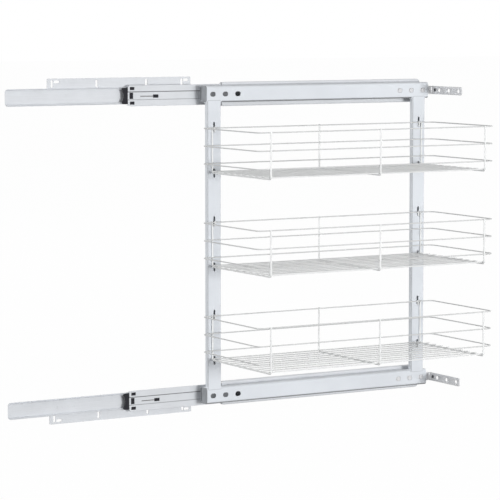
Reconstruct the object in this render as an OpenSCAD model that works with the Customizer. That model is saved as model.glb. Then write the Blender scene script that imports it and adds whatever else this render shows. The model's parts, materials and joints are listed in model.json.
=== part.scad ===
// Pull-out larder unit for a 300 mm wide kitchen cabinet: a steel frame that rides on two
// full-extension ball-bearing runners fixed to one cabinet side, with three hook-on wire baskets.
// It stands here pulled out to the end of its travel, as it is shown when the cabinet is open.
//
// +X is the pull-out direction, towards the door. +Y points at the cabinet side that carries the
// runners. +Z is up. The origin lies on that cabinet side's face, midway between the two
// horizontal fixing slots of the lower mounting plate.

/* [Frame] */
// Height between the centre lines of the two rails
frame_h = 568; // [480:1:800]
// Length of a rail
rail_l = 500; // [470:1:560]
// Height of a rail
rail_h = 31; // [28:0.5:34]
// Depth of a rail, front to back
rail_d = 25; // [22:0.5:30]
// Wall of the rail tube
rail_wall = 1.5; // [1.2:0.1:2]
// Outer corner radius of the rail tube
rail_r = 5; // [4:0.1:6]
// Width of an upright
upright_w = 30; // [24:0.5:34]
// Depth of an upright
upright_d = 10; // [9:0.5:16]
// Wall of the upright tube
upright_wall = 1.5; // [1.2:0.1:2]
// Outer corner radius of the upright tube
upright_r = 2.5; // [2:0.1:3]
// How far an upright's front face lies behind the rail's front face
upright_setback = 0; // [0:0.5:3]
// Gap between the rail's rear end and the rear upright
rear_inset = 0.5; // [0.5:0.5:14]
// Gap between the rail's door end and the front upright
front_inset = 7; // [4:0.5:14]

/* [Rail holes and plugs] */
// Height of the oblong holes in the rail's front wall
rail_hole_d = 9; // [7:0.5:11]
// Length of the oblong holes
rail_hole_l = 12; // [11:0.5:15]
// Distance from a rail end to the first hole
rail_hole_start = 13; // [12:0.5:17]
// Distance between neighbouring holes
rail_hole_pitch = 27; // [20:0.5:30]
// Number of holes at each end of a rail
rail_holes = 3; // [2:1:3]
// How deep a plug reaches into the rail
plug_l = 48; // [20:1:60]
// Thickness of the plug's head
plug_head = 1; // [0.8:0.1:2.5]
// Width of the groove along the head's rear edge
plug_groove_w = 3; // [2:0.5:6]
// Clearance of the plug in the tube, each side
plug_gap = 0.2; // [0.1:0.05:0.4]

/* [Runners] */
// Length of the outer and inner members
runner_l = 450; // [430:1:465]
// Length of the intermediate member
mid_l = 430; // [410:1:445]
// Overall thickness of a runner
runner_t = 12.7; // [12.7:0.1:13.2]
// Height of the outer member
outer_h = 45.4; // [45.4:0.1:45.8]
// Depth of the outer member
outer_d = 11.1; // [10.9:0.1:11.2]
// Width of the outer member's mouth, between its two lips
outer_mouth = 39.2; // [38.8:0.1:40]
// Height of the intermediate member over its rolled edges
mid_h = 38.6; // [38.2:0.1:38.6]
// Height of the inner member over its rolled edges
inner_h = 31.4; // [31:0.1:34]
// How far the runners' centre lines lie below the rails' centre lines
runner_drop = 1.1; // [0:0.1:1.5]
// Sheet thickness of the runner members
sheet = 1.2; // [1.1:0.05:1.25]
// Corner radius of the members' ends
end_r = 6; // [2:0.5:7]
// Distance the frame travels
travel = 442; // [400:1:445]
// Distance the intermediate members travel
mid_travel = 244; // [220:1:250]
// Distance from the rail's rear end to the outer member
outer_start = 46.4; // [40:0.1:50]
// Ball diameter of the outer row
outer_ball = 3.7; // [3.65:0.01:3.72]
// Ball diameter of the inner row
inner_ball = 3; // [2.95:0.01:3.02]
// Distance between neighbouring balls of the outer rows
ball_pitch = 14; // [10:1:20]
// Number of balls in each outer row
outer_balls_n = 16; // [4:1:16]
// Number of balls in each inner row
inner_balls_n = 9; // [4:1:9]

/* [Mounting plates] */
// Length of a mounting plate
plate_l = 297; // [290:1:310]
// Thickness of a mounting plate
plate_t = 2; // [1.5:0.1:3]
// Reach of the plate beyond the runner's centre line
plate_reach = 32.5; // [32:0.5:40]
// Distance from the inner member's rear end to the plate
plate_start = 84.5; // [70:0.5:100]
// Width of the fixing slots
slot_w = 5; // [4:0.5:6]
// Length of the horizontal slots
across_slot_l = 11.5; // [8:0.5:13]
// Length of the vertical slots
up_slot_l = 14; // [10:0.5:15]
// Solid edge left outside the slots
slot_edge = 3; // [3:0.5:6]

/* [Door brackets] */
// Height of a door bracket
bracket_h = 16; // [12:0.5:18]
// Sheet thickness of a door bracket
bracket_t = 2; // [1.5:0.1:2.5]
// Gap from the rail's end to the bracket's plate
bracket_gap = 8.5; // [6:0.5:20]
// Reach of the bracket's plate in front of the rail
bracket_reach = 100; // [97:1:120]
// Length of the bracket's arm inside the rail
bracket_arm = 78; // [75:1:100]
// Diameter of the door holes
door_hole_d = 8.2; // [4:0.1:9]
// Number of door holes
door_holes = 3; // [2:1:3]
// Distance between neighbouring door holes
door_hole_pitch = 32; // [32:1:36]
// Distance from the rail's front face to the first door hole
door_hole_start = 25; // [20:1:25]

/* [Baskets] */
// Length of a basket over the centre lines of its rings
basket_l = 521; // [500:1:521]
// Width of a basket over the centre lines of its ribs
basket_w = 212; // [150:1:215]
// Height from the floor wires to the top ring
basket_h = 81; // [75:1:100]
// Distance between the rear and front ribs
rib_span = 472.6; // [465:0.2:500]
// Distance between one basket and the next
basket_pitch = 176.5; // [170:0.5:190]
// Top ring of the highest basket below the upper rail's centre line
top_ring_drop = 62.8; // [50:0.1:70]
// Corner radius of the rings
ring_r = 12; // [8:1:30]
// Drop from the top ring to the middle ring, and on to the lower ring
ring_drop = 33; // [25:0.5:35]
// Wire of the rings
ring_wire = 2.2; // [2:0.1:3.2]
// Wire of the ribs
rib_wire = 3.2; // [2.8:0.1:4.5]
// Wire of the floor
floor_wire = 2.2; // [1.8:0.1:3]
// Number of floor wires
floor_wires = 10; // [6:1:14]
// Overhang of the floor wires beyond the end ribs
floor_overhang = 3.5; // [2:0.5:8]
// Bend radius of the ribs at the floor
rib_bend = 4.5; // [4:0.5:12]
// Wire of the hooks
hook_wire = 3; // [2.6:0.1:3.2]
// How far a hook hangs below the slot's edge
hook_tail = 2.6; // [1.5:0.1:2.6]

/* [Basket slots] */
// Width of the slots in the uprights
hook_slot_w = 4; // [3.5:0.1:5]
// Height of the upper slots
upper_slot_h = 20; // [18:0.5:24]
// Height of the lower slots
lower_slot_h = 17; // [16:0.5:24]
// Centre of an upper slot above the basket's top ring
upper_slot_rise = 1; // [0:0.1:1.5]
// Centre of a lower slot below the basket's floor wires
lower_slot_fall = 3.5; // [3:0.1:4]

/* [Hidden] */
$fn = 48;
// running gap between parts that slide, gap at welds, and gap of a piece resting on its seat
run_gap = 0.05;
weld_gap = 0.05;
seat_gap = 0.3;
// cutters reach this far past the walls that they open
past = 1;

// --- heights
across_drop = 0.5;
across_row = plate_reach - slot_edge - slot_w / 2 - across_drop;
lower_z = across_row;
upper_z = lower_z + frame_h;

// --- depths, measured from the cabinet side at Y = 0 towards the baskets at -Y
runner_back = -plate_t;
rail_back = runner_back - runner_t;
rail_front = rail_back - rail_d;
upright_front = rail_front + upright_setback;
rib_far = upright_front - seat_gap - rib_wire / 2;
rib_near = rib_far - basket_w;
ring_inset = rib_wire / 2 + ring_wire / 2 + weld_gap;

// --- lengths along the pull-out direction
up_slots = [9.5, 100.5, 203.5, plate_l - 18.5];
across_slots = [19, plate_l - 10];
plate_x = -(across_slots[0] + across_slots[1]) / 2;
inner_x = plate_x - plate_start;
mid_x = inner_x + mid_travel;
outer_x = inner_x + travel;
rail_x = outer_x - outer_start;
rail_end = rail_x + rail_l;
rear_upright_x = rail_x + rear_inset;
front_upright_x = rail_end - front_inset - upright_w;
rear_slot_x = rear_upright_x + upright_w / 2;
front_slot_x = front_upright_x + upright_w / 2;
basket_x = (rear_slot_x + front_slot_x) / 2;

// --- runner sections: depth runs from the outer member's web (0) to the inner's back (runner_t)
outer_corner = 3.5;
mid_face = 2.2;
mid_recess = mid_face + sheet;
mid_recess_h = 15.2;
mid_race = 17.7;
mid_race_end = 10.4;
mid_bead = 2.8;
mid_bead_r = 1.2;
inner_race = 13.4;
inner_race_front = 6;
inner_bead = [1.9, 1.8];
inner_ball_depth = 8.2;
outer_ball_depth = 7.4;
cage_sheet = 0.5;
outer_cage_front = sheet + 0.25;
outer_cage_back = 9.6;
inner_cage_front = mid_recess + sheet + 0.3;
inner_cage_back = 10.2;
outer_ball_z = (mid_race + outer_h / 2 - sheet) / 2;
inner_ball_z = (inner_race + mid_race - sheet) / 2;
outer_cage_stop = 4;
inner_cage_stop = 10;
inner_cage_gap = 7.9;
cage_end = 10;

// --- intermediate member's fittings
window_start = 4;
side_window = [9.6, 5.8];
side_window_z = 13.4;
mid_window = [7, 11.6];
pad_gap = 0.15;
pad_sink = 0.3;
buffer_reach = 11;
buffer_gap = 0.2;
buffer_r = 1.5;
buffer_h = 30;
buffer_tongue = 17;
buffer_t = 1.1;
buffer_dish_r = 22;
buffer_dish = 3.2;
latch_start = 26.5;
latch_z = -1.2;
latch_stem = [27, 1.2];
latch_head = [10.6, 5.6];
latch_gap = 0.3;
latch_pad = 0.8;
latch_rim = 2;
latch_sink = 0.3;
latch_head_rise = 0.5;
latch_head_r = 1;
latch_lap = 1;

// --- rivets
clinch_d = 3;
clinch_head_d = 4;
clinch_head = 0.5;
clinch_offset = 2.5;
clinch_steps = [101, 111, 123, 135];
plate_low = 7.5;
plate_r = 1.5;
rivet_steps = [40, runner_l / 2, runner_l - 40];
rivet_d = 4;
rivet_head_d = 7;
rivet_tail = 1.2;

// --- plug
plug_groove_rim = 0.3;
plug_groove_l = 5;

// --- door bracket
bend_r = 2.5;
boss_d = rail_hole_d - 0.4;
boss_shift = (rail_hole_l - rail_hole_d) / 2 - 0.1;
boss_sink = 0.3;
door_stud_d = 6.2;
door_stud_head = 1.4;
door_stud_pin = 3;
door_stud_y = 11.5;
door_stud_z = 0.5;
bracket_x = rail_end + bracket_gap;
bracket_corner = 3;

// --- basket details
hook_bend = 2;
hook_rise = 2;
tail_gap = 1;
peg_reach = 2;
peg_drop = 1;
baskets = 3;
ring_z = [0, -ring_drop, -2 * ring_drop];
// the baskets' spacing is stated for the usual frame, and spreads with the frame's height
usual_frame_h = 568;
spread = frame_h / usual_frame_h;

STEEL = [0.84, 0.85, 0.87];
ZINC = [0.80, 0.82, 0.84];
WIRE = [0.78, 0.79, 0.79];
GREY = [0.45, 0.46, 0.48];
BLACK = [0.10, 0.10, 0.11];
BALL = [0.65, 0.66, 0.68];

// ---------------------------------------------------------------- building blocks

// A flat shape in (Y, Z) drawn out along +X from x0
module along_x(x0, len) {
  translate([x0, 0, 0]) rotate([90, 0, 90]) linear_extrude(len) children();
}

// A flat shape in (X, Z) drawn out towards +Y from y0
module along_y(y0, len) {
  translate([0, y0 + len, 0]) rotate([90, 0, 0]) linear_extrude(len) children();
}

// A rectangle with true round corners, its middle at the origin
module rounded(w, h, r) {
  square([w - 2 * r, h], center = true);
  square([w, h - 2 * r], center = true);
  for (x = [-1, 1], y = [-1, 1]) translate([x * (w / 2 - r), y * (h / 2 - r)]) circle(r);
}

// The same rectangle with its left edge at x = 0
module rounded_from(w, h, r) {
  translate([w / 2, 0]) rounded(w, h, r);
}

// A slot with round ends, len long along x
module slot(len, w) {
  square([len - w, w], center = true);
  for (side = [-1, 1]) translate([side * (len - w) / 2, 0]) circle(d = w);
}

// A drawn shape and its mirror image across z = 0
module both_sides() {
  for (side = [0, 1]) mirror([0, side]) children();
}

// Moves to a rail's centre line; at the lower one, outward things are turned upside down
module at_rail(upper, outward = false) {
  translate([0, 0, upper ? upper_z : lower_z])
    if (outward && !upper) mirror([0, 0, 1]) children();
    else children();
}

// Moves to a runner's centre line
module at_runner(upper) {
  translate([0, 0, (upper ? upper_z : lower_z) - runner_drop]) children();
}

// ---------------------------------------------------------------- runner members

// Closed C section of the outer member: web at the rail, lips towards the cabinet side
module outer_section() {
  difference() {
    rounded_from(outer_d, outer_h, outer_corner);
    translate([sheet, 0])
      rounded_from(outer_d - 2 * sheet, outer_h - 2 * sheet, outer_corner - sheet);
    translate([outer_d - sheet - past, -outer_mouth / 2]) square([sheet + 2 * past, outer_mouth]);
  }
}

// Intermediate section: sunk web, two raised bands, folded edges and the two race flanges
module mid_section() {
  translate([mid_recess, -mid_recess_h / 2 - sheet]) square([sheet, mid_recess_h + 2 * sheet]);
  both_sides() {
    translate([mid_face, mid_recess_h / 2]) square([2 * sheet, sheet]);
    translate([mid_face, mid_recess_h / 2]) square([sheet, mid_h / 2 - mid_recess_h / 2 - sheet]);
    translate([mid_face, (mid_h - mid_bead) / 2]) rounded_from(mid_bead, mid_bead, mid_bead_r);
    translate([mid_recess - sheet / 2, mid_race - sheet])
      square([mid_race_end - mid_recess + sheet / 2, sheet]);
  }
}

// Inner section: web on the mounting plate, a race flange and a rolled edge on either side
module inner_section() {
  translate([runner_t - sheet, (inner_bead[1] - inner_h) / 2])
    square([sheet, inner_h - inner_bead[1]]);
  both_sides() {
    translate([inner_race_front, inner_race - sheet])
      square([runner_t - sheet / 2 - inner_race_front, sheet]);
    translate([runner_t - inner_bead[0] / 2, (inner_h - inner_bead[1]) / 2])
      slot(inner_bead[0], inner_bead[1]);
  }
}

// Draws a runner section out to its length, with the ends' corners rounded
module runner_member(x0, len, h) {
  intersection() {
    translate([0, rail_back, 0]) along_x(x0, len) children();
    along_y(rail_back - past, runner_t + 2 * past)
      translate([x0 + len / 2, 0]) rounded(len, h, end_r);
  }
}

module outer_member(upper) {
  color(ZINC) at_runner(upper) difference() {
    runner_member(outer_x, runner_l, outer_h) outer_section();
    for (step = rivet_steps) translate([outer_x + step, rail_back, 0]) rivet_cut();
  }
}

module inner_member(upper) {
  color(ZINC) difference() {
    at_runner(upper) runner_member(inner_x, runner_l, inner_h) inner_section();
    at_rail(upper, outward = true) clinch_holes();
  }
}

module intermediate_member(upper) {
  color(ZINC) at_runner(upper) difference() {
    runner_member(mid_x, mid_l, mid_h) mid_section();
    along_y(rail_back, mid_race_end) windows(0);
    along_y(rail_back, mid_race_end) translate([mid_x + latch_start, latch_z])
      latch_outline(latch_gap);
  }
}

// The three windows that hold the end buffer's pads
module windows(gap) {
  for (side = [-1, 1])
    translate([mid_x + window_start + gap, side * side_window_z - side_window[1] / 2 + gap])
      square([side_window[0] - 2 * gap, side_window[1] - 2 * gap]);
  translate([mid_x + window_start + gap, -mid_window[1] / 2 + gap])
    square([mid_window[0] - 2 * gap, mid_window[1] - 2 * gap]);
}

// Black bumper clipped to the intermediate member's rear end, dished on its outside
module end_buffer(upper) {
  tongue_y = rail_back + mid_recess + sheet;
  pad_y = rail_back + mid_face + pad_sink;
  neck_h = buffer_h - 2 * buffer_r;
  color(BLACK) at_runner(upper) {
    along_y(tongue_y, buffer_t) {
      translate([mid_x, -buffer_h / 2]) square([buffer_tongue, buffer_h]);
      translate([mid_x - buffer_r, -neck_h / 2]) square([2 * buffer_r, neck_h]);
    }
    along_y(pad_y, tongue_y - pad_y) windows(pad_gap);
    along_y(pad_y, tongue_y + buffer_t - pad_y) difference() {
      translate([mid_x - buffer_reach, 0])
        rounded_from(buffer_reach - buffer_gap, buffer_h, buffer_r);
      translate([mid_x - buffer_reach + buffer_dish - buffer_dish_r, 0])
        circle(buffer_dish_r, $fn = 96);
    }
  }
}

// Stem and head of the release lever from the front, larger all round by gap
module latch_outline(gap) {
  translate([-gap, -latch_stem[1] / 2 - gap])
    square([latch_stem[0] + gap + latch_lap, latch_stem[1] + 2 * gap]);
  translate([latch_stem[0] - gap, -latch_head[1] / 2 - gap])
    square([latch_head[0] + 2 * gap, latch_head[1] + 2 * gap]);
}

// Black release lever lying in the intermediate member's slot, on its own back pad
module latch_lever(upper) {
  lever_l = latch_stem[0] + latch_head[0];
  color(BLACK) at_runner(upper) translate([mid_x + latch_start, rail_back, latch_z]) {
    along_y(mid_recess + sheet, latch_pad)
      translate([-latch_rim, -latch_head[1] / 2 - latch_rim])
        square([lever_l + 2 * latch_rim, latch_head[1] + 2 * latch_rim]);
    along_y(mid_recess + latch_sink, sheet + latch_pad - latch_sink)
      translate([0, -latch_stem[1] / 2]) square([lever_l, latch_stem[1]]);
    along_y(mid_recess - latch_head_rise, sheet + latch_pad + latch_head_rise)
      translate([latch_stem[0], 0]) rounded_from(latch_head[0], latch_head[1], latch_head_r);
  }
}

// ---------------------------------------------------------------- balls and cages

// Bent cage strip: a web and two flanges with a pocket for every ball
module cage(x0, len, front, flange_end, flange_z, ball, n, pitch) {
  difference() {
    translate([0, rail_back, 0]) along_x(x0, len) difference() {
      translate([front, -flange_z - cage_sheet / 2])
        square([flange_end - front, 2 * flange_z + cage_sheet]);
      translate([front + cage_sheet, -flange_z + cage_sheet / 2])
        square([flange_end - front, 2 * flange_z - cage_sheet]);
    }
    for (i = [0 : n - 1], side = [-1, 1])
      translate([x0 + cage_end / 2 + i * pitch, rail_back, side * flange_z])
        translate([0, ball[1], -past]) cylinder(d = ball[0] + 2 * run_gap, h = 2 * past);
  }
}

module ball_rows(x0, n, pitch, ball, z) {
  for (i = [0 : n - 1], side = [-1, 1])
    translate([x0 + cage_end / 2 + i * pitch, rail_back + ball[1], side * z]) sphere(d = ball[0]);
}

// the inner cage takes the room between the release lever and the inner member's door end
inner_cage_x = mid_x + latch_start + latch_stem[0] + latch_head[0] + latch_rim + inner_cage_gap;
inner_cage_l = inner_x + runner_l - inner_cage_stop - inner_cage_x;
inner_pitch = (inner_cage_l - cage_end) / (inner_balls_n - 1);
outer_cage_l = (outer_balls_n - 1) * ball_pitch + cage_end;
outer_cage_x = mid_x + mid_l - outer_cage_stop - outer_cage_l;

module inner_cage(upper) {
  color(ZINC) at_runner(upper)
    cage(inner_cage_x, inner_cage_l, inner_cage_front, inner_cage_back, inner_ball_z,
         [inner_ball, inner_ball_depth], inner_balls_n, inner_pitch);
}

module inner_balls(upper) {
  color(BALL) at_runner(upper)
    ball_rows(inner_cage_x, inner_balls_n, inner_pitch, [inner_ball, inner_ball_depth],
              inner_ball_z);
}

module outer_cage(upper) {
  color(ZINC) at_runner(upper)
    cage(outer_cage_x, outer_cage_l, outer_cage_front, outer_cage_back, outer_ball_z,
         [outer_ball, outer_ball_depth], outer_balls_n, ball_pitch);
}

module outer_balls(upper) {
  color(BALL) at_runner(upper)
    ball_rows(outer_cage_x, outer_balls_n, ball_pitch, [outer_ball, outer_ball_depth],
              outer_ball_z);
}

// ---------------------------------------------------------------- mounting plates

module clinch_holes() {
  for (x = clinch_places()) translate([x, past, clinch_offset]) rotate([90, 0, 0])
    cylinder(d = clinch_d + 2 * run_gap, h = plate_t + runner_t - inner_race_front);
}

// Rivet places: a row near the plate's rear end and its mirror image near the door end
function clinch_places() = concat(
  [for (step = clinch_steps) inner_x + step],
  [for (step = clinch_steps) 2 * (plate_x + plate_l / 2) - inner_x - step]);

module mounting_plate(upper) {
  color(STEEL) at_rail(upper, outward = true) difference() {
    along_y(runner_back, plate_t) difference() {
      translate([plate_x + plate_l / 2, (plate_reach - plate_low) / 2])
        rounded(plate_l, plate_reach + plate_low, plate_r);
      for (x = up_slots)
        translate([plate_x + x, plate_reach - slot_edge - up_slot_l / 2])
          rotate(90) slot(up_slot_l, slot_w);
      for (x = across_slots) translate([plate_x + x, across_row]) slot(across_slot_l, slot_w);
    }
    clinch_holes();
  }
}

// Rivets that join the inner member's web to the mounting plate, flush at the cabinet side
module clinch_rivets(upper) {
  color(STEEL) at_rail(upper, outward = true) for (x = clinch_places())
    translate([x, 0, clinch_offset]) rotate([90, 0, 0]) {
      cylinder(d = clinch_d, h = plate_t + sheet);
      translate([0, 0, plate_t + sheet]) cylinder(d = clinch_head_d, h = clinch_head);
    }
}

// ---------------------------------------------------------------- frame

// Outline of the rail tube in (Y, Z), made wider all round by grow
module rail_outline(grow) {
  translate([-rail_d / 2, 0]) rounded(rail_d + 2 * grow, rail_h + 2 * grow, rail_r + grow);
}

// Hole places of one rail: the same row from each end
function rail_hole_places() = [for (i = [0 : rail_holes - 1], from = [0, 1])
  from == 0 ? rail_x + rail_hole_start + i * rail_hole_pitch
            : rail_end - rail_hole_start - i * rail_hole_pitch];

module rail(upper) {
  color(STEEL) at_rail(upper) difference() {
    translate([0, rail_back, 0]) along_x(rail_x, rail_l) difference() {
      rail_outline(0);
      rail_outline(-rail_wall);
    }
    for (x = rail_hole_places()) along_y(rail_front - past, rail_wall + 2 * past)
      translate([x, 0]) slot(rail_hole_l, rail_hole_d);
    for (step = rivet_steps) translate([outer_x + step, rail_back + past, -runner_drop])
      rotate([90, 0, 0]) cylinder(d = rivet_d + 2 * run_gap, h = rail_wall + 2 * past);
  }
}

// Grey plug in the rail's rear end, with a groove to prise it out
module rail_plug(upper) {
  body_d = rail_d - 2 * rail_wall - 2 * plug_gap;
  body_h = rail_h - 2 * rail_wall - 2 * plug_gap;
  groove_y = body_d / 2 - plug_groove_rim - plug_groove_w;
  groove_h = body_h - 2 * plug_groove_rim;
  color(GREY) at_rail(upper) translate([0, rail_back - rail_d / 2, 0]) difference() {
    union() {
      along_x(rail_x - plug_head, plug_head) rounded(rail_d, rail_h, rail_r);
      along_x(rail_x, plug_l) rounded(body_d, body_h, rail_r - rail_wall);
    }
    along_x(rail_x - plug_head - past, plug_head + past + plug_groove_l)
      translate([groove_y, -groove_h / 2]) square([plug_groove_w, groove_h]);
  }
}

// Countersink for a rivet head in the outer member's web
module rivet_cut() {
  rotate([-90, 0, 0]) translate([0, 0, -past]) cylinder(d = rivet_d + 2 * run_gap, h = 3 * past);
  rotate([-90, 0, 0]) cylinder(d1 = rivet_d + 2 * run_gap, d2 = rivet_head_d + 2 * run_gap,
                               h = sheet);
}

// Countersunk rivets that hold the outer member on the rail's back wall
module runner_rivets(upper) {
  color(ZINC) at_runner(upper) for (step = rivet_steps)
    translate([outer_x + step, rail_back, 0]) rotate([-90, 0, 0]) {
      cylinder(d1 = rivet_d, d2 = rivet_head_d, h = sheet);
      translate([0, 0, -rail_wall]) cylinder(d = rivet_d, h = rail_wall);
      translate([0, 0, -rail_wall - rivet_tail]) cylinder(d = rivet_head_d, h = rivet_tail);
    }
}

function basket_top(i) = upper_z - spread * (top_ring_drop + i * basket_pitch);
function slot_centres() = [for (i = [0 : baskets - 1], upper = [0, 1])
  upper == 1 ? [basket_top(i) + upper_slot_rise, upper_slot_h]
             : [basket_top(i) - basket_h - lower_slot_fall, lower_slot_h]];

// Upright tube with a pair of hook slots for every basket; both its ends are coped to the rails
module upright(x0) {
  end_z = rail_h / 2 - rail_r;
  color(STEEL) difference() {
    translate([x0 + upright_w / 2, upright_front + upright_d / 2, lower_z + end_z])
      linear_extrude(frame_h - 2 * end_z) difference() {
        rounded(upright_w, upright_d, upright_r);
        rounded(upright_w - 2 * upright_wall, upright_d - 2 * upright_wall,
                upright_r - upright_wall);
      }
    for (upper = [true, false]) at_rail(upper) translate([0, rail_back, 0])
      along_x(x0 - past, upright_w + 2 * past) rail_outline(weld_gap);
    for (s = slot_centres()) along_y(upright_front - past, upright_wall + 1.5 * past)
      translate([x0 + upright_w / 2, s[0]]) rotate(90) slot(s[1], hook_slot_w);
  }
}

// ---------------------------------------------------------------- door brackets

// L-shaped bracket: its arm lies inside the rail behind the front wall, its plate takes the door
module door_bracket(upper) {
  arm_y = rail_front + rail_wall;
  color(STEEL) at_rail(upper) difference() {
    union() {
      translate([0, 0, -bracket_h / 2]) linear_extrude(bracket_h) bracket_outline(arm_y);
      for (i = [0 : rail_holes - 1])
        translate([rail_end - rail_hole_start - i * rail_hole_pitch + boss_shift, arm_y, 0])
          rotate([90, 0, 0]) cylinder(d = boss_d, h = rail_wall - boss_sink);
    }
    for (i = [0 : door_holes - 1])
      translate([bracket_x - past, rail_front - door_hole_start - i * door_hole_pitch, 0])
        rotate([0, 90, 0]) cylinder(d = door_hole_d, h = bracket_t + 2 * past);
    translate([bracket_x - past, rail_front - door_stud_y, door_stud_z]) rotate([0, 90, 0])
      cylinder(d = door_stud_pin + 2 * run_gap, h = bracket_t + 2 * past);
    for (side = [-1, 1]) translate([bracket_x - past, 0, 0]) bracket_corner_cut(side);
  }
}

module bracket_outline(arm_y) {
  outer_r = bend_r + bracket_t;
  translate([rail_end - bracket_arm, arm_y])
    square([bracket_arm + bracket_gap + bracket_t - outer_r, bracket_t]);
  translate([bracket_x, rail_front - bracket_reach])
    square([bracket_t, bracket_reach + rail_wall + bracket_t - outer_r]);
  intersection() {
    translate([bracket_x + bracket_t - outer_r, arm_y + bracket_t - outer_r]) difference() {
      circle(outer_r);
      circle(bend_r);
    }
    translate([bracket_x + bracket_t - outer_r, arm_y + bracket_t - outer_r])
      square(outer_r + past);
  }
}

// Rounds a corner of the bracket's free end
module bracket_corner_cut(side) {
  y = rail_front - bracket_reach;
  translate([0, y, side * bracket_h / 2]) rotate([0, 90, 0]) linear_extrude(bracket_t + 2 * past)
    difference() {
      square(2 * bracket_corner, center = true);
      translate([side * bracket_corner, bracket_corner]) circle(bracket_corner);
    }
}

// Dark stud pressed into the bracket's plate next to the rail
module door_stud(upper) {
  color(GREY) at_rail(upper)
    translate([bracket_x, rail_front - door_stud_y, door_stud_z]) rotate([0, 90, 0]) {
      cylinder(d = door_stud_pin, h = bracket_t);
      translate([0, 0, -door_stud_head]) cylinder(d = door_stud_d, h = door_stud_head);
    }
}

// ---------------------------------------------------------------- baskets

// A quarter bend of wire from +x to +y about the origin
module quarter_bend(r, d) {
  rotate_extrude(angle = 90) translate([r, 0]) circle(d = d);
}

module straight_x(x0, x1, y, z, d) {
  translate([x0, y, z]) rotate([0, 90, 0]) cylinder(d = d, h = x1 - x0);
}

module straight_y(x, y0, y1, z, d) {
  translate([x, y0, z]) rotate([-90, 0, 0]) cylinder(d = d, h = y1 - y0);
}

// Closed ring with round corners, lying flat at height z
module ring(z) {
  x0 = basket_x - basket_l / 2;
  x1 = basket_x + basket_l / 2;
  y0 = rib_near + ring_inset;
  y1 = rib_far - ring_inset;
  for (y = [y0, y1]) straight_x(x0 + ring_r, x1 - ring_r, y, z, ring_wire);
  for (x = [x0, x1]) straight_y(x, y0 + ring_r, y1 - ring_r, z, ring_wire);
  translate([x1 - ring_r, y1 - ring_r, z]) quarter_bend(ring_r, ring_wire);
  translate([x0 + ring_r, y1 - ring_r, z]) rotate(90) quarter_bend(ring_r, ring_wire);
  translate([x0 + ring_r, y0 + ring_r, z]) rotate(180) quarter_bend(ring_r, ring_wire);
  translate([x1 - ring_r, y0 + ring_r, z]) rotate(270) quarter_bend(ring_r, ring_wire);
}

// U-shaped rib in the (Y, Z) plane, its legs standing from floor_z to top_z
module rib(x, floor_z, top_z) {
  leg0 = floor_z + rib_bend;
  for (y = [rib_near, rib_far]) translate([x, y, leg0]) cylinder(d = rib_wire, h = top_z - leg0);
  straight_y(x, rib_near + rib_bend, rib_far - rib_bend, floor_z, rib_wire);
  translate([x, rib_near + rib_bend, leg0]) rotate([0, 90, 0]) rotate([0, 0, -90])
    quarter_bend(rib_bend, rib_wire);
  translate([x, rib_far - rib_bend, leg0]) rotate([0, 90, 0]) quarter_bend(rib_bend, rib_wire);
}

module basket_rings(i) {
  color(WIRE) for (z = ring_z) ring(basket_top(i) + z);
}

module basket_ribs(i) {
  floor_z = basket_top(i) - basket_h - floor_wire / 2 - weld_gap - rib_wire / 2;
  color(WIRE) for (x = [-rib_span / 2, 0, rib_span / 2])
    rib(basket_x + x, floor_z, basket_top(i) + ring_wire / 2);
}

module basket_floor(i) {
  y0 = rib_near + rib_bend;
  pitch = (basket_w - 2 * rib_bend) / (floor_wires - 1);
  reach = rib_span / 2 + floor_overhang;
  color(WIRE) for (n = [0 : floor_wires - 1])
    straight_x(basket_x - reach, basket_x + reach, y0 + n * pitch, basket_top(i) - basket_h,
               floor_wire);
}

// Hook wire behind the top ring: down, through the slot and down again behind the wall
module hook(x, top_z) {
  drop_y = rib_far - ring_inset + ring_wire / 2 + weld_gap + hook_wire / 2;
  ledge_z = top_z + upper_slot_rise - upper_slot_h / 2 + seat_gap + hook_wire / 2;
  tail_y = upright_front + upright_wall + tail_gap + hook_wire / 2;
  translate([x, drop_y, ledge_z + hook_bend])
    cylinder(d = hook_wire, h = top_z + hook_rise - ledge_z - hook_bend);
  translate([x, drop_y + hook_bend, ledge_z + hook_bend]) rotate([0, 90, 0]) rotate([0, 0, -90])
    quarter_bend(hook_bend, hook_wire);
  straight_y(x, drop_y + hook_bend, tail_y - hook_bend, ledge_z, hook_wire);
  translate([x, tail_y - hook_bend, ledge_z - hook_bend]) rotate([0, -90, 0])
    quarter_bend(hook_bend, hook_wire);
  translate([x, tail_y, ledge_z - hook_wire / 2 - seat_gap - hook_tail])
    cylinder(d = hook_wire, h = hook_tail + seat_gap + hook_wire / 2 - hook_bend);
}

// Straight peg behind the last floor wire that sits in the lower slot
module peg(x, floor_z) {
  y0 = rib_far - rib_bend + floor_wire / 2 + weld_gap;
  straight_y(x, y0, upright_front + upright_wall + peg_reach, floor_z - peg_drop, hook_wire);
}

module basket_hooks(i) {
  color(WIRE) for (x = [rear_slot_x, front_slot_x]) {
    hook(x, basket_top(i));
    peg(x, basket_top(i) - basket_h);
  }
}

// ---------------------------------------------------------------- the assembly

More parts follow.
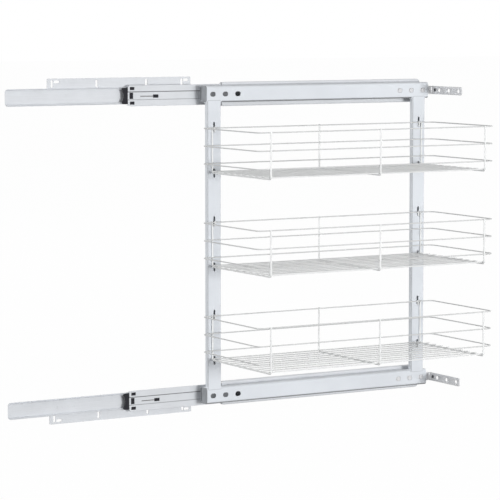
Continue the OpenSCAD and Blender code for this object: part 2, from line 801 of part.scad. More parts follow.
mounting_plate(true);  // upper_mounting_plate
mounting_plate(false);  // lower_mounting_plate
inner_member(true);  // upper_inner_member
inner_member(false);  // lower_inner_member
clinch_rivets(true);  // upper_clinch_rivets
clinch_rivets(false);  // lower_clinch_rivets
intermediate_member(true);  // upper_intermediate_member
intermediate_member(false);  // lower_intermediate_member
end_buffer(true);  // upper_end_buffer
end_buffer(false);  // lower_end_buffer
latch_lever(true);  // upper_latch_lever
latch_lever(false);  // lower_latch_lever
inner_cage(true);  // upper_inner_cage
inner_cage(false);  // lower_inner_cage
inner_balls(true);  // upper_inner_balls
inner_balls(false);  // lower_inner_balls
outer_cage(true);  // upper_outer_cage
outer_cage(false);  // lower_outer_cage
outer_balls(true);  // upper_outer_balls
outer_balls(false);  // lower_outer_balls
outer_member(true);  // upper_outer_member
outer_member(false);  // lower_outer_member
runner_rivets(true);  // upper_runner_rivets
runner_rivets(false);  // lower_runner_rivets
rail(true);  // upper_rail
rail(false);  // lower_rail
rail_plug(true);  // upper_rail_plug
rail_plug(false);  // lower_rail_plug
upright(rear_upright_x);  // rear_upright
upright(front_upright_x);  // front_upright
door_bracket(true);  // upper_door_bracket
door_bracket(false);  // lower_door_bracket
door_stud(true);  // upper_door_stud
door_stud(false);  // lower_door_stud
basket_rings(0);  // top_basket_rings
basket_ribs(0);  // top_basket_ribs
basket_floor(0);  // top_basket_floor
basket_hooks(0);  // top_basket_hooks
basket_rings(1);  // middle_basket_rings
basket_ribs(1);  // middle_basket_ribs
basket_floor(1);  // middle_basket_floor
basket_hooks(1);  // middle_basket_hooks
basket_rings(2);  // bottom_basket_rings
basket_ribs(2);  // bottom_basket_ribs
basket_floor(2);  // bottom_basket_floor
basket_hooks(2);  // bottom_basket_hooks
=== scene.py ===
"""Looks of the pull-out larder unit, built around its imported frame.

The unit stands pulled out of its cabinet: satin silver-grey tubes, zinc-plated runners and
coated wire baskets over a plain pale floor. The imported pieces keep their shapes. This script
gives them their finishes, adds the welds and rounds the edges of the small fittings.
"""
import json
import math

import bpy
from bpy.props import FloatProperty, FloatVectorProperty, IntProperty, PointerProperty
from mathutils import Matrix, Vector

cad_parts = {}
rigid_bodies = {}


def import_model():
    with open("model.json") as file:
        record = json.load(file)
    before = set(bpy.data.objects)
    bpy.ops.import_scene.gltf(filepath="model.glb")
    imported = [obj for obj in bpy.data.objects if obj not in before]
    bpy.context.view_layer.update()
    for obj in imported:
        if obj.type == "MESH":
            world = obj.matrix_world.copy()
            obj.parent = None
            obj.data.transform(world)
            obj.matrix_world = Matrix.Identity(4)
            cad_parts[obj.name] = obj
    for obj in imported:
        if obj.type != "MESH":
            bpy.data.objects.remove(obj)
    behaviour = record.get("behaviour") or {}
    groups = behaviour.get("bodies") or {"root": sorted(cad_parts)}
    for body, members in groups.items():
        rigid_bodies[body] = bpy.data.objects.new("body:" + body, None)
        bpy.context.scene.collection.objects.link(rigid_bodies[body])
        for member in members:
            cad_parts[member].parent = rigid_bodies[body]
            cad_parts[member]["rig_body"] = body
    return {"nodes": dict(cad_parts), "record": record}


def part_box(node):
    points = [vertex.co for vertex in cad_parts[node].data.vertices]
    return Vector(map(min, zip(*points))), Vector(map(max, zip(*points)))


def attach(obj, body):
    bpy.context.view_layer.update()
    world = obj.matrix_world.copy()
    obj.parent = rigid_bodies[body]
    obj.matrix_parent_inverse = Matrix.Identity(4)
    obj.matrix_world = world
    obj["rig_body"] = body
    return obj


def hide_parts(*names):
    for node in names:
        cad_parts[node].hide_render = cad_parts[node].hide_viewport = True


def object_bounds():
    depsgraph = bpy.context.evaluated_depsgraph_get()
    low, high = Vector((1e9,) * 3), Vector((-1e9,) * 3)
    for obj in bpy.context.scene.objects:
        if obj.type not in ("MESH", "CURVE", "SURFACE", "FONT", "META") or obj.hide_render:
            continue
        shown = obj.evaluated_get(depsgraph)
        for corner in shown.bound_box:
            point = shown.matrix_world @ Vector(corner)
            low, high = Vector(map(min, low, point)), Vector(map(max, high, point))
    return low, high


bl_info = {
    "name": "Pull-out larder unit",
    "version": (1, 0, 0),
    "blender": (4, 5, 0),
    "location": "View3D > Sidebar > Larder",
    "description": "Finishes the wire baskets, tubes and runners of a pull-out larder unit",
    "category": "Object",
}

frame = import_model()
CAD_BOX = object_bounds()
LEVELS = ("upper", "lower")
UPRIGHTS = ("rear", "front")
BASKETS = ("top", "middle", "bottom")

# how metallic each kind of surface is, and how rough
COAT_METAL, SHEET_METAL = 0.15, 0.35
COAT_ROUGH, WIRE_ROUGH, SHEET_ROUGH = 0.42, 0.38, 0.36
PLUG_ROUGH, BLACK_ROUGH, BALL_ROUGH, STUD_ROUGH = 0.5, 0.42, 0.14, 0.3
# painted shade: share of a coat's tone that is left on an underside and on an upright corner
# that faces back
UNDERSIDE_SHADE, CORNER_SHADE = 0.3, 0.6
# where they lie: the normal's Z from full to none, and its X at the corner's middle and width
UNDERSIDE_Z, CORNER_X = (-0.7, -0.25), (-0.5, 0.9)
# painted shade along the seam where an upright meets a rail, carrying the rail's dark underside
# across it: width and share of the tone that is left
SEAM_SHADE_WIDTH, SEAM_SHADE = 0.0028, 0.72
# painted shade: the rings' wire is toned this much darker than the other wires
RING_SHADE = 0.8
# stretch of the grain on rolled sheet, which runs along X, and on a stamped bracket
ROLLED, STAMPED = (0.35, 12, 12), (4, 4, 4)
# painted shade in the intermediate member's folds, where each step shades the web: height off
# its middle, width, share left
FOLD_SHADES = ((0.0072, 0.0022, 0.25), (-0.0074, 0.0018, 0.6))
# length of a release lever's black head, the tone of the stem before it, and their soft border
LEVER_HEAD, STEM_TONE, STEM_BORDER = 0.0128, 0.2, 0.0005
# painted shade on a plug's tongue inside the rail: place from the head, width, share of the tone
# that is left
TONGUE_SHADE = (0.028, 0.054, 0.4)

# welds on the wires: width as a share of one wire, as a share of the other, and thickness
RING_WELD = (0.95, 1.35, 0.0016)
FLOOR_WELD = (0.95, 1.35, 0.0014)
HOOK_WELD = (0.95, 1.3, 0.0016)
PEG_WELD = (0.95, 1.2, 0.0014)
WIRE_END = (0.99, 0.99, 0.0009)
FLASH = (1.3, 1.3, 0.0014)
# the top ring's flash lies this far from the middle rib, and the next ones a step further
FLASH_START, FLASH_STEP = 0.05, 0.004
# a peg's weld lies this far below the middle of the floor wires
PEG_DROP = 0.0005
# weld beads on the uprights: overlap of the ripples, how far they lean to and fro, and how
# fast the two leans go round from ripple to ripple on the sides and at the back
RIPPLE_LAP = 1.7
LEAN_ALONG, LEAN_ACROSS = 0.12, 0.1
SIDE_TURNS, BACK_TURNS = (2.1, 1.7), (2.3, 1.9)

# before edges are rounded, corners this close are merged and faces this flat are joined
SAME_PLACE, FLAT_ANGLE = 0.000002, 0.5

# share of the light that the floor throws back, and the room's own light
BOUNCE = 0.12
ROOM_LIGHT = 0.24
# seen straight, the floor is this much plain white, and the rest takes the shadow on its tone
FLOOR_WHITE = 0.985
FLOOR_TONE = 0.9
FLOOR_SIZE, FLOOR_X = 60, 0.25
# soft lamps: name, place from the unit's middle, size, power and whether metal mirrors them
LAMPS = (
    ("front_right", (1.2, -3.8, 0.05), 0.9, 150, False),
    ("front_left", (-2.2, -3.2, 0.3), 1.2, 10, True),
    ("left", (-3.6, -0.6, 0.4), 1.2, 60, True),
    ("behind", (-0.8, 4.0, 1.2), 3.0, 60, False),
)
# the photograph's camera: place, the point that it looks at, lens, sensor width and reach
CAMERA_PLACE = (-2.1089, -4.0163, 0.74775)
CAMERA_AIM = (0.2513, -0.0397, 0.2989)
CAMERA_LENS, CAMERA_SENSOR, CAMERA_REACH = 176.83, 36, 200


# ------------------------------------------------------------------ sizes and colours

class LarderColours(bpy.types.PropertyGroup):
    """Base colours of the finishes"""
    silver: FloatVectorProperty(
        name="Silver coat", description="Powder coat of the tubes", size=3,
        subtype="COLOR", default=(0.695, 0.725, 0.765), min=0, max=1)
    zinc: FloatVectorProperty(
        name="Zinc", description="Plated sheet of the runners and plates", size=3,
        subtype="COLOR", default=(0.69, 0.71, 0.74), min=0, max=1)
    wire: FloatVectorProperty(
        name="Wire", description="Coated wire of the baskets", size=3,
        subtype="COLOR", default=(0.80, 0.81, 0.81), min=0, max=1)
    plug: FloatVectorProperty(
        name="Plug", description="Moulded plug in a rail's rear end", size=3,
        subtype="COLOR", default=(0.33, 0.345, 0.365), min=0, max=1)
    black: FloatVectorProperty(
        name="Black plastic", description="Bumpers and release levers", size=3,
        subtype="COLOR", default=(0.012, 0.012, 0.016), min=0, max=1)
    ball: FloatVectorProperty(
        name="Balls", description="Polished steel of the balls", size=3,
        subtype="COLOR", default=(0.55, 0.55, 0.57), min=0, max=1)
    bracket: FloatVectorProperty(
        name="Bracket", description="Plated sheet of the door brackets", size=3,
        subtype="COLOR", default=(0.70, 0.705, 0.72), min=0, max=1)
    stud: FloatVectorProperty(
        name="Stud", description="Dark studs of the door brackets", size=3,
        subtype="COLOR", default=(0.12, 0.12, 0.13), min=0, max=1)


class LarderSizes(bpy.types.PropertyGroup):
    """Sizes of the stage and of the fine detail"""
    floor_gap: FloatProperty(
        name="Floor gap", description="Distance from the lowest point to the floor",
        default=0.001, unit="LENGTH", min=0, max=0.5)
    ring_wire: FloatProperty(
        name="Ring wire", description="Diameter of the rings' wire",
        default=0.0022, unit="LENGTH", min=0.001, max=0.005)
    rib_wire: FloatProperty(
        name="Rib wire", description="Diameter of the ribs' wire",
        default=0.0032, unit="LENGTH", min=0.001, max=0.006)
    floor_wire: FloatProperty(
        name="Floor wire", description="Diameter of the floor wires",
        default=0.0022, unit="LENGTH", min=0.001, max=0.005)
    hook_wire: FloatProperty(
        name="Hook wire", description="Diameter of the hooks' wire",
        default=0.0030, unit="LENGTH", min=0.001, max=0.005)
    floor_wires: IntProperty(
        name="Floor wires", description="Number of wires in a basket's floor",
        default=10, min=2, max=20)
    rail_radius: FloatProperty(
        name="Rail radius", description="Outer corner radius of the rail tubes",
        default=0.005, unit="LENGTH", min=0.001, max=0.01)
    upright_depth: FloatProperty(
        name="Upright depth", description="Depth of the upright tubes, front to back",
        default=0.010, unit="LENGTH", min=0.005, max=0.02)
    bead: FloatProperty(
        name="Weld bead", description="Width of the weld beads at the uprights' ends",
        default=0.0026, unit="LENGTH", min=0.001, max=0.005)
    ripple: FloatProperty(
        name="Weld ripple", description="Distance from one ripple of a weld bead to the next",
        default=0.0010, unit="LENGTH", min=0.0005, max=0.003)
    eased_edge: FloatProperty(
        name="Eased edge", description="Width of the rounding on moulded and stamped edges",
        default=0.0004, unit="LENGTH", min=0.0001, max=0.001)


# ------------------------------------------------------------------ materials

FINISH = {}
# a Mix node's sockets for colours: the first, the second and the result
FIRST, SECOND, RESULT = 6, 7, 2


class Nodes:
    """Adds nodes to one material and links them"""

    def __init__(self, name):
        self.material = bpy.data.materials.new(name)
        self.material.use_nodes = True
        self.tree = self.material.node_tree
        self.shader = self.tree.nodes["Principled BSDF"]
        self.place = self.add("ShaderNodeTexCoord").outputs["Object"]

    def add(self, kind, links=(), **settings):
        """A node with its settings and socket values, linked from the given sources"""
        node = self.tree.nodes.new(kind)
        for key, value in settings.items():
            if hasattr(node, key):
                setattr(node, key, value)
            else:
                node.inputs[key.replace("_", " ")].default_value = value
        for socket, source in links:
            self.tree.links.new(source, node.inputs[socket])
        return node

    def noise(self, scale, detail=3.0, roughness=0.5, stretch=None):
        """Noise on the object's own coordinates"""
        source = self.place
        if stretch:
            mapping = self.add("ShaderNodeMapping", [("Vector", source)])
            mapping.inputs["Scale"].default_value = stretch
            source = mapping.outputs["Vector"]
        return self.add("ShaderNodeTexNoise", [("Vector", source)], Scale=scale,
                        Detail=detail, Roughness=roughness).outputs["Fac"]

    def ramp(self, source, low, high):
        """Maps a factor between two stops, each a place and a colour"""
        node = self.add("ShaderNodeValToRGB", [("Fac", source)])
        for stop, (place, colour) in zip(node.color_ramp.elements, (low, high)):
            stop.position = place
            stop.color = (*colour, 1)
        return node.outputs["Color"]

    def tones(self, source, stops, colour, shares):
        """A darker and a lighter share of one colour at two stops of the source"""
        low, high = (tuple(min(1.0, part * by) for part in colour) for by in shares)
        return self.ramp(source, (stops[0], low), (stops[1], high))

    def axis(self, which):
        """One of the object's own coordinates"""
        return self.add("ShaderNodeSeparateXYZ", [(0, self.place)]).outputs[which]

    def fade(self, source, start, end):
        """1 before the start and 0 past the end, with a smooth step between them"""
        node = self.add("ShaderNodeMapRange", [("Value", source)],
                        interpolation_type="SMOOTHSTEP")
        for socket, value in (("From Min", start), ("From Max", end), ("To Min", 1.0),
                              ("To Max", 0.0)):
            node.inputs[socket].default_value = value
        return node.outputs["Result"]

    def near(self, source, value, width):
        """1 where the source is close to a value, and 0 half a width away from it"""
        off = self.add("ShaderNodeMath", [(0, source)], operation="SUBTRACT")
        off.inputs[1].default_value = value
        far = self.add("ShaderNodeMath", [(0, off.outputs[0])], operation="ABSOLUTE")
        return self.fade(far.outputs[0], width * 0.25, width * 0.5)

    def mixed(self, tone, mask, other, blend="MIX"):
        """Another grey in place of the tone where the mask is 1, or blended with it"""
        node = self.add("ShaderNodeMix", [(0, mask)], data_type="RGBA", blend_type=blend)
        self.tree.links.new(tone, node.inputs[FIRST])
        node.inputs[SECOND].default_value = (other, other, other, 1)
        return node.outputs[RESULT]

    def darker(self, tone, mask, by):
        """Multiplies a tone by a factor where the mask is 1"""
        return self.mixed(tone, mask, by, "MULTIPLY")

    def link(self, source, socket):
        """Links a source to one of the shader's own sockets"""
        self.tree.links.new(source, self.shader.inputs[socket])

    def rough(self, source, low, high):
        """Lets the roughness wander between two values"""
        self.link(self.ramp(source, (0.3, (low,) * 3), (0.7, (high,) * 3)), "Roughness")

    def set(self, **values):
        """Constant values for the shader's own sockets"""
        for key, value in values.items():
            self.shader.inputs[key.replace("_", " ")].default_value = value

    def bump(self, height, strength, distance, below=None):
        """A bumped normal, on top of another one where that is given"""
        links = [("Height", height)]
        if below is not None:
            links.append(("Normal", below))
        return self.add("ShaderNodeBump", links, Strength=strength,
                        Distance=distance).outputs["Normal"]


def powder_coat(name, colour, roughness, tube=False, shaded_seams=()):
    """Satin coat: faint clouds of tone, fine orange peel and a clear top

    On a tube, painted shade darkens it underneath and on the upright corners that face back.
    Painted shade also greys it along a seam, which is given by its height.
    """
    n = Nodes(name)
    clouds = n.noise(9, detail=4, roughness=0.6)
    tone = n.tones(clouds, (0.35, 0.65), colour, (0.965, 1.03))
    if tube:
        # painted shade, by the surface's normal: darker where it points down and on the corners
        # that face back
        facing = n.add("ShaderNodeNewGeometry").outputs["Normal"]
        sideways, _, upward = n.add("ShaderNodeSeparateXYZ", [(0, facing)]).outputs
        tone = n.darker(tone, n.fade(upward, *UNDERSIDE_Z), UNDERSIDE_SHADE)
        tone = n.darker(tone, n.near(sideways, *CORNER_X), CORNER_SHADE)
    # painted shade along each seam
    for height in shaded_seams:
        tone = n.darker(tone, n.near(n.axis(2), height, SEAM_SHADE_WIDTH), SEAM_SHADE)
    n.link(tone, "Base Color")
    n.rough(n.noise(260, detail=2), roughness - 0.05, roughness + 0.06)
    peel = n.bump(n.noise(900, detail=2, roughness=0.45), 0.10, 0.0004)
    waves = n.bump(n.noise(38, detail=1, roughness=0.4), 0.06, 0.002, below=peel)
    n.link(waves, "Normal")
    n.set(Metallic=COAT_METAL, Coat_Weight=0.15, Coat_Roughness=0.25)
    return n.material


def zinc_sheet(name, colour, stretch=ROLLED, fold_shades=()):
    """Plated sheet: fine stretched lines, pale spangle clouds and painted shade in its folds"""
    n = Nodes(name)
    lines = n.noise(60, detail=5, roughness=0.65, stretch=stretch)
    clouds = n.noise(24, roughness=0.55)
    total = n.add("ShaderNodeMath", [(0, lines), (1, clouds)], operation="ADD")
    half = n.add("ShaderNodeMath", [(0, total.outputs[0])], operation="MULTIPLY")
    half.inputs[1].default_value = 0.5
    factor = half.outputs[0]
    tone = n.tones(factor, (0.35, 0.65), colour, (0.94, 1.05))
    # painted shade along each fold
    for height, width, dark in fold_shades:
        tone = n.darker(tone, n.near(n.axis(2), height, width), dark)
    n.link(tone, "Base Color")
    n.rough(factor, SHEET_ROUGH - 0.06, SHEET_ROUGH + 0.08)
    n.link(n.bump(lines, 0.05, 0.0006), "Normal")
    n.set(Metallic=SHEET_METAL, Anisotropic=0.3)
    return n.material


def moulded(name, colour, roughness, stem_end=None, tongue_shade=None):
    """Matt moulded plastic with a fine spark-eroded grain

    A lever's stem is pale as far as its end along X, and painted shade darkens a stretch along
    X.
    """
    n = Nodes(name)
    tone = n.tones(n.noise(60), (0.3, 0.7), colour, (0.88, 1.14))
    if stem_end is not None:
        stem = n.fade(n.axis(0), stem_end - STEM_BORDER, stem_end)
        tone = n.mixed(tone, stem, STEM_TONE)
    # painted shade on the plug's tongue, inside the rail
    if tongue_shade:
        place, width, dark = tongue_shade
        tone = n.darker(tone, n.near(n.axis(0), place, width), dark)
    n.link(tone, "Base Color")
    grain = n.noise(1500, detail=2)
    n.rough(grain, roughness - 0.08, roughness + 0.08)
    n.link(n.bump(grain, 0.25, 0.0003), "Normal")
    n.set(Specular_IOR_Level=0.3)
    return n.material


def polished(name, colour, roughness):
    """Ground and polished steel with hair-fine swirls"""
    n = Nodes(name)
    swirl = n.noise(700, detail=4, roughness=0.7)
    n.link(n.tones(swirl, (0.3, 0.7), colour, (0.9, 1.08)), "Base Color")
    n.rough(swirl, roughness, roughness + 0.08)
    n.set(Metallic=1.0)
    return n.material


def make_finishes(c):
    """Makes every material once, under its slot's name or that of the piece that it suits"""
    FINISH["silver_paint"] = powder_coat("silver_coat", c.silver, COAT_ROUGH, tube=True)
    low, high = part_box("rear_upright")
    FINISH["uprights"] = powder_coat("upright_coat", c.silver, COAT_ROUGH, tube=True,
                                     shaded_seams=(low.z, high.z))
    FINISH["coated_wire"] = powder_coat("wire_coat", c.wire, WIRE_ROUGH)
    # the rings' coat: the wire's colour with painted shade
    ring_shade_tone = [part * RING_SHADE for part in c.wire]
    FINISH["rings"] = powder_coat("ring_wire_shaded_coat", ring_shade_tone, WIRE_ROUGH)

    FINISH["zinc_steel"] = zinc_sheet("zinc_sheet", c.zinc)
    FINISH["bracket"] = zinc_sheet("bracket_zinc", c.bracket, STAMPED)
    for level in LEVELS:
        low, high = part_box(level + "_intermediate_member")
        middle = (low.z + high.z) / 2
        FINISH[level + "_intermediate"] = zinc_sheet(
            level + "_zinc_fold_shade", c.zinc,
            fold_shades=[(middle + off, width, dark) for off, width, dark in FOLD_SHADES])

    # painted shade on the plug's tongue, deep inside the rail
    off, width, dark = TONGUE_SHADE
    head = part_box("upper_rail_plug")[0].x
    FINISH["grey_plastic"] = moulded("plug_plastic", c.plug, PLUG_ROUGH,
                                     tongue_shade=(head + off, width, dark))
    FINISH["black_plastic"] = moulded("black_plastic", c.black, BLACK_ROUGH)
    lever_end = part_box("upper_latch_lever")[1].x
    FINISH["lever"] = moulded("lever_plastic", c.black, BLACK_ROUGH,
                              stem_end=lever_end - LEVER_HEAD)
    FINISH["ball_steel"] = polished("ball_steel", c.ball, BALL_ROUGH)
    FINISH["dark_steel"] = polished("dark_steel", c.stud, STUD_ROUGH)


def node_slots():
    """The record's material slot of every node"""
    return {p["node"]: p["material_slot"] for p in frame["record"]["subparts"]}


# ------------------------------------------------------------------ modelling by hand

def alone(piece):
    """Makes the piece the only selected one, and the active one"""
    bpy.ops.object.select_all(action="DESELECT")
    piece.select_set(True)
    bpy.context.view_layer.objects.active = piece


def select_faces(piece, test):
    """In edit mode, selects only the faces whose centre and normal pass the test"""
    bpy.ops.mesh.select_mode(type="FACE")
    bpy.ops.mesh.select_all(action="DESELECT")
    bpy.ops.object.mode_set(mode="OBJECT")
    for face in piece.data.polygons:
        face.select = test(face.center, face.normal)
    bpy.ops.object.mode_set(mode="EDIT")


def copy_to(source, place, size, turn=(0, 0, 0)):
    """A copy with its own mesh, turned and sized at its place"""
    twin = bpy.data.objects.new(source.name + "_copy", source.data.copy())
    bpy.context.scene.collection.objects.link(twin)
    twin.location, twin.scale, twin.rotation_euler = place, size, turn
    return twin


def finish_piece(piece, name, body, slot, material=None, angle=40):
    """Names a piece whose place is in its mesh, and gives it its finish and its body"""
    piece.name = piece.data.name = name
    alone(piece)
    bpy.ops.object.shade_smooth_by_angle(angle=math.radians(angle))
    piece.data.materials.clear()
    piece.data.materials.append(material or FINISH[slot])
    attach(piece, body)
    return piece


def joined(parts):
    """Joins the parts into one object that sits at the origin"""
    bpy.ops.object.select_all(action="DESELECT")
    for part in parts:
        part.select_set(True)
    bpy.context.view_layer.objects.active = parts[0]
    bpy.ops.object.join()
    bpy.ops.object.transform_apply(location=True, rotation=True, scale=True)
    return bpy.context.active_object


def weld_blob():
    """One unit wide blob of weld metal that lies flat across Z, with round rims"""
    bpy.ops.object.select_all(action="DESELECT")
    bpy.ops.mesh.primitive_cylinder_add(vertices=8, radius=0.5, depth=1.0)
    blob = bpy.context.active_object
    blob.name = "weld_blob"
    bpy.ops.object.mode_set(mode="EDIT")
    select_faces(blob, lambda centre, normal: abs(normal.z) > 0.9)
    bpy.ops.mesh.bevel(offset=0.26, segments=2, profile=0.6, affect="EDGES")
    bpy.ops.object.mode_set(mode="OBJECT")
    return blob


ACROSS_Y = (math.pi / 2, 0, 0)
ACROSS_X = (0, math.pi / 2, 0)


def basket_welds(basket, sizes, blob):
    """Blobs where a basket's wires cross, flash on its ring joints and beads on its wire ends"""
    ring_low, ring_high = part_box(basket + "_basket_rings")
    rib_low, rib_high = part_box(basket + "_basket_ribs")
    floor_low, floor_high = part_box(basket + "_basket_floor")
    hook_low, hook_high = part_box(basket + "_basket_hooks")
    ring, rib, wire, hook = sizes.ring_wire, sizes.rib_wire, sizes.floor_wire, sizes.hook_wire
    parts = []

    def weld(place, kind, across, along, turn=(0, 0, 0)):
        size = (kind[0] * across, kind[1] * along, kind[2])
        parts.append(copy_to(blob, place, size, turn))

    top, bottom = ring_high.z - ring / 2, ring_low.z + ring / 2
    levels = (top, (top + bottom) / 2, bottom)
    ribs = (rib_low.x + rib / 2, (rib_low.x + rib_high.x) / 2, rib_high.x - rib / 2)
    floor_z = (floor_low.z + floor_high.z) / 2
    first, last = floor_low.y + wire / 2, floor_high.y - wire / 2
    rows = [first + (last - first) * n / (sizes.floor_wires - 1)
            for n in range(sizes.floor_wires)]
    for x in ribs:
        for z in levels:
            for y in (rib_low.y + rib, rib_high.y - rib):
                weld((x, y, z), RING_WELD, rib, ring, ACROSS_Y)
        for y in rows:
            weld((x, y, floor_low.z), FLOOR_WELD, rib, wire)
        for y in (rib_low.y + rib / 2, rib_high.y - rib / 2):
            weld((x, y, rib_high.z), WIRE_END, rib, rib)
    for y in rows:
        for x in (floor_low.x, floor_high.x):
            weld((x, y, floor_z), WIRE_END, wire, wire, ACROSS_X)
    far_ring = rib_high.y - rib - ring / 2
    for n, z in enumerate(levels):
        flash_x = ribs[1] + FLASH_START + FLASH_STEP * n
        weld((flash_x, far_ring, z), FLASH, ring, ring, ACROSS_X)
    for x in (hook_low.x + hook / 2, hook_high.x - hook / 2):
        weld((x, rib_high.y - rib, top), HOOK_WELD, hook, ring, ACROSS_Y)
        weld((x, floor_high.y, floor_z - PEG_DROP), PEG_WELD, hook, wire, ACROSS_Y)
    finish_piece(joined(parts), basket + "_basket_welds", basket + "_basket", "coated_wire")


def leans(n, turns):
    """How far one ripple leans along the bead and across it"""
    return LEAN_ALONG * math.sin(turns[0] * n), LEAN_ACROSS * math.cos(turns[1] * n)


def upright_welds(upright, sizes, blob):
    """Rippled beads round both ends of an upright, where it is coped to the rails"""
    low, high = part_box(upright + "_upright")
    parts = []
    bead, step, radius = sizes.bead, sizes.ripple, sizes.rail_radius
    arc = radius * math.pi / 2
    for level, up in (("upper", -1), ("lower", 1)):
        rail_low, rail_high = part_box(level + "_rail")
        edge = rail_low.z if up < 0 else rail_high.z
        front = rail_low.y
        corner_y, corner_z = front + radius, edge - up * radius
        side = []
        for n in range(int((arc + sizes.upright_depth - radius) / step) + 1):
            run = n * step
            if run < arc:
                turn = run / radius
                side.append((corner_y - radius * math.cos(turn),
                             corner_z + up * radius * math.sin(turn)))
            else:
                side.append((corner_y + run - arc, edge))
        # the beads start two ripples round the rail's corner, so the front stays clean
        for x in (low.x, high.x):
            for n, (y, z) in enumerate(side[2:]):
                along, across = leans(n, SIDE_TURNS)
                parts.append(copy_to(blob, (x, y, z), (bead, step * RIPPLE_LAP, bead),
                                     (along, across, 0)))
        back = front + sizes.upright_depth
        for n in range(int((high.x - low.x) / step) + 1):
            along, across = leans(n, BACK_TURNS)
            parts.append(copy_to(blob, (low.x + n * step, back, edge),
                                 (step * RIPPLE_LAP, bead, bead), (0, across, along)))
    finish_piece(joined(parts), upright + "_upright_welds", "frame", "silver_paint")


def eased(node, width, segments=2, material=None, fold=30):
    """Stands for a CAD node: the same solid with its sharp edges slightly rounded"""
    source = frame["nodes"][node]
    slot = node_slots()[node]
    body = source["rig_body"]
    piece = bpy.data.objects.new(node + "_eased", source.data.copy())
    bpy.context.scene.collection.objects.link(piece)
    alone(piece)
    bpy.ops.object.mode_set(mode="EDIT")
    bpy.ops.mesh.select_all(action="SELECT")
    bpy.ops.mesh.remove_doubles(threshold=SAME_PLACE)
    bpy.ops.mesh.dissolve_limited(angle_limit=math.radians(FLAT_ANGLE))
    bpy.ops.mesh.normals_make_consistent(inside=False)
    bpy.ops.object.mode_set(mode="OBJECT")
    rounding = piece.modifiers.new("eased_edge", "BEVEL")
    rounding.width = width
    rounding.segments = segments
    rounding.limit_method = "ANGLE"
    rounding.angle_limit = math.radians(fold)
    rounding.use_clamp_overlap = True
    bpy.ops.object.modifier_apply(modifier=rounding.name)
    finish_piece(piece, node + "_eased", body, slot, material, fold)
    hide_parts(node)
    return piece


# ------------------------------------------------------------------ operators

class LARDER_OT_finishes(bpy.types.Operator):
    """Make the finishes and give one to every carried-over node"""
    bl_idname = "larder.finishes"
    bl_label = "Finishes"

    def execute(self, context):
        make_finishes(context.scene.larder_colours)
        for name, slot in node_slots().items():
            mesh = frame["nodes"][name].data
            mesh.materials.clear()
            mesh.materials.append(FINISH[slot])
        for level in LEVELS:
            frame["nodes"][level + "_intermediate_member"].data.materials[0] = (
                FINISH[level + "_intermediate"])
        for upright in UPRIGHTS:
            frame["nodes"][upright + "_upright"].data.materials[0] = FINISH["uprights"]
        # the rings take the coat with painted shade
        for basket in BASKETS:
            frame["nodes"][basket + "_basket_rings"].data.materials[0] = FINISH["rings"]
        return {"FINISHED"}


class LARDER_OT_basket_welds(bpy.types.Operator):
    """Weld the baskets' wires where they cross"""
    bl_idname = "larder.basket_welds"
    bl_label = "Basket welds"

    def execute(self, context):
        blob = weld_blob()
        for basket in BASKETS:
            basket_welds(basket, context.scene.larder_sizes, blob)
        bpy.data.objects.remove(blob)
        return {"FINISHED"}


class LARDER_OT_frame_welds(bpy.types.Operator):
    """Lay the weld beads that join the uprights to the rails"""
    bl_idname = "larder.frame_welds"
    bl_label = "Frame welds"

    def execute(self, context):
        blob = weld_blob()
        for upright in UPRIGHTS:
            upright_welds(upright, context.scene.larder_sizes, blob)
        bpy.data.objects.remove(blob)
        return {"FINISHED"}


class LARDER_OT_fittings(bpy.types.Operator):
    """Round the edges of plugs, bumpers, levers, brackets and studs"""
    bl_idname = "larder.fittings"
    bl_label = "Fittings"

    def execute(self, context):
        width = context.scene.larder_sizes.eased_edge
        for level in LEVELS:
            eased(level + "_rail_plug", width)
            eased(level + "_end_buffer", width)
            eased(level + "_latch_lever", width * 0.5, material=FINISH["lever"])
            eased(level + "_door_bracket", width, material=FINISH["bracket"])
            eased(level + "_door_stud", width, segments=3)
        return {"FINISHED"}


class LARDER_OT_stage(bpy.types.Operator):
    """Set up the floor, the light and the camera"""
    bl_idname = "larder.stage"
    bl_label = "Stage"

    def execute(self, context):
        sizes = context.scene.larder_sizes
        low = CAD_BOX[0]
        bpy.ops.object.select_all(action="DESELECT")
        spot = (FLOOR_X, 0, low.z - sizes.floor_gap)
        bpy.ops.mesh.primitive_plane_add(size=FLOOR_SIZE, location=spot)
        floor = context.active_object
        floor.name = "floor"
        floor.data.materials.append(floor_finish())
        make_world(context.scene)
        make_lights()
        make_camera(context.scene)
        return {"FINISHED"}


def white_rays(tree):
    """1 for a ray that shows the background: straight, mirrored or through glass"""
    path = tree.nodes.new("ShaderNodeLightPath")
    seen = path.outputs["Is Camera Ray"]
    for other in ("Is Glossy Ray", "Is Transmission Ray"):
        either = tree.nodes.new("ShaderNodeMath")
        either.operation = "MAXIMUM"
        tree.links.new(seen, either.inputs[0])
        tree.links.new(path.outputs[other], either.inputs[1])
        seen = either.outputs[0]
    return seen


def floor_finish():
    """Pale floor: white where it is seen, greyer for the light that it throws back"""
    material = bpy.data.materials.new("floor_white")
    material.use_nodes = True
    tree = material.node_tree
    tree.nodes.clear()
    out = tree.nodes.new("ShaderNodeOutputMaterial")
    mix = tree.nodes.new("ShaderNodeMixShader")
    dull = tree.nodes.new("ShaderNodeBsdfDiffuse")
    tone = tree.nodes.new("ShaderNodeMapRange")
    tone.inputs["To Min"].default_value = BOUNCE
    tone.inputs["To Max"].default_value = FLOOR_TONE
    glow = tree.nodes.new("ShaderNodeEmission")
    share = tree.nodes.new("ShaderNodeMath")
    share.operation = "MULTIPLY"
    share.inputs[1].default_value = FLOOR_WHITE
    seen = white_rays(tree)
    link = tree.links.new
    link(seen, tone.inputs["Value"])
    link(tone.outputs["Result"], dull.inputs["Color"])
    link(seen, share.inputs[0])
    link(share.outputs[0], mix.inputs["Fac"])
    link(dull.outputs[0], mix.inputs[1])
    link(glow.outputs[0], mix.inputs[2])
    link(mix.outputs[0], out.inputs["Surface"])
    return material


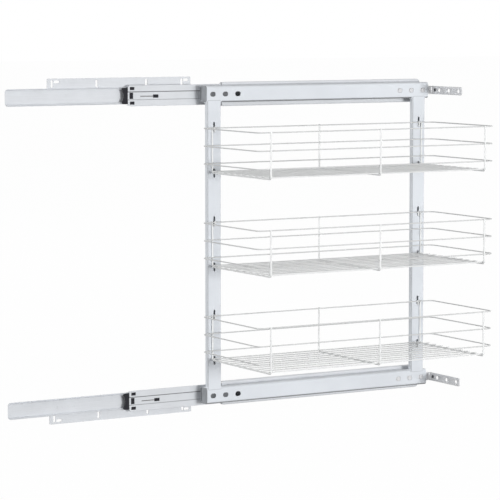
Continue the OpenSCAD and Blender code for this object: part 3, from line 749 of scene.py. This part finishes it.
def make_world(scene):
    """Soft room light, with white for whatever shows the background"""
    world = bpy.data.worlds.new("white_room")
    scene.world = world
    world.use_nodes = True
    tree = world.node_tree
    back = tree.nodes["Background"]
    level = tree.nodes.new("ShaderNodeMapRange")
    level.inputs["To Min"].default_value = ROOM_LIGHT
    level.inputs["To Max"].default_value = 1.0
    tree.links.new(white_rays(tree), level.inputs["Value"])
    tree.links.new(level.outputs["Result"], back.inputs["Strength"])
    back.inputs["Color"].default_value = (1, 1, 1, 1)
    scene.view_settings.view_transform = "Standard"


def make_lights():
    """Soft lamps that all face the unit's middle"""
    low, high = CAD_BOX
    middle = (low + high) / 2
    for name, offset, size, power, mirrored in LAMPS:
        place = middle + Vector(offset)
        bpy.ops.object.light_add(type="AREA", location=place)
        lamp = bpy.context.active_object
        lamp.name = name
        lamp.data.size = size
        lamp.data.energy = power
        lamp.visible_glossy = mirrored
        lamp.rotation_euler = (middle - place).to_track_quat("-Z", "Y").to_euler()


def make_camera(scene):
    """Camera at the photograph's viewing angle, with its focal length and framing"""
    place = Vector(CAMERA_PLACE)
    aim = Vector(CAMERA_AIM)
    camera = bpy.data.cameras.new("camera")
    camera.lens = CAMERA_LENS
    camera.sensor_width = CAMERA_SENSOR
    camera.clip_end = CAMERA_REACH
    view = bpy.data.objects.new("camera", camera)
    scene.collection.objects.link(view)
    view.location = place
    view.rotation_euler = (aim - place).to_track_quat("-Z", "Y").to_euler()
    scene.camera = view


class LARDER_PT_panel(bpy.types.Panel):
    """Lists the steps that finish the larder unit"""
    bl_label = "Larder unit"
    bl_idname = "LARDER_PT_panel"
    bl_space_type = "VIEW_3D"
    bl_region_type = "UI"
    bl_category = "Larder"

    def draw(self, context):
        for group in ("larder_colours", "larder_sizes"):
            settings = getattr(context.scene, group)
            for key in settings.bl_rna.properties.keys():
                if key not in ("rna_type", "name"):
                    self.layout.prop(settings, key)
        for step in STEPS:
            self.layout.operator(step.bl_idname)


GROUPS = (LarderColours, LarderSizes)
STEPS = (LARDER_OT_finishes, LARDER_OT_basket_welds, LARDER_OT_frame_welds,
         LARDER_OT_fittings, LARDER_OT_stage)


def register():
    """Adds the classes and the settings to Blender"""
    for item in GROUPS + STEPS + (LARDER_PT_panel,):
        bpy.utils.register_class(item)
    bpy.types.Scene.larder_colours = PointerProperty(type=LarderColours)
    bpy.types.Scene.larder_sizes = PointerProperty(type=LarderSizes)


def unregister():
    """Takes them out again"""
    del bpy.types.Scene.larder_sizes
    del bpy.types.Scene.larder_colours
    for item in reversed(GROUPS + STEPS + (LARDER_PT_panel,)):
        bpy.utils.unregister_class(item)


def main():
    """Runs every step"""
    register()
    for step in STEPS:
        group, name = step.bl_idname.split(".")
        getattr(getattr(bpy.ops, group), name)()


if __name__ == "__main__":
    main()
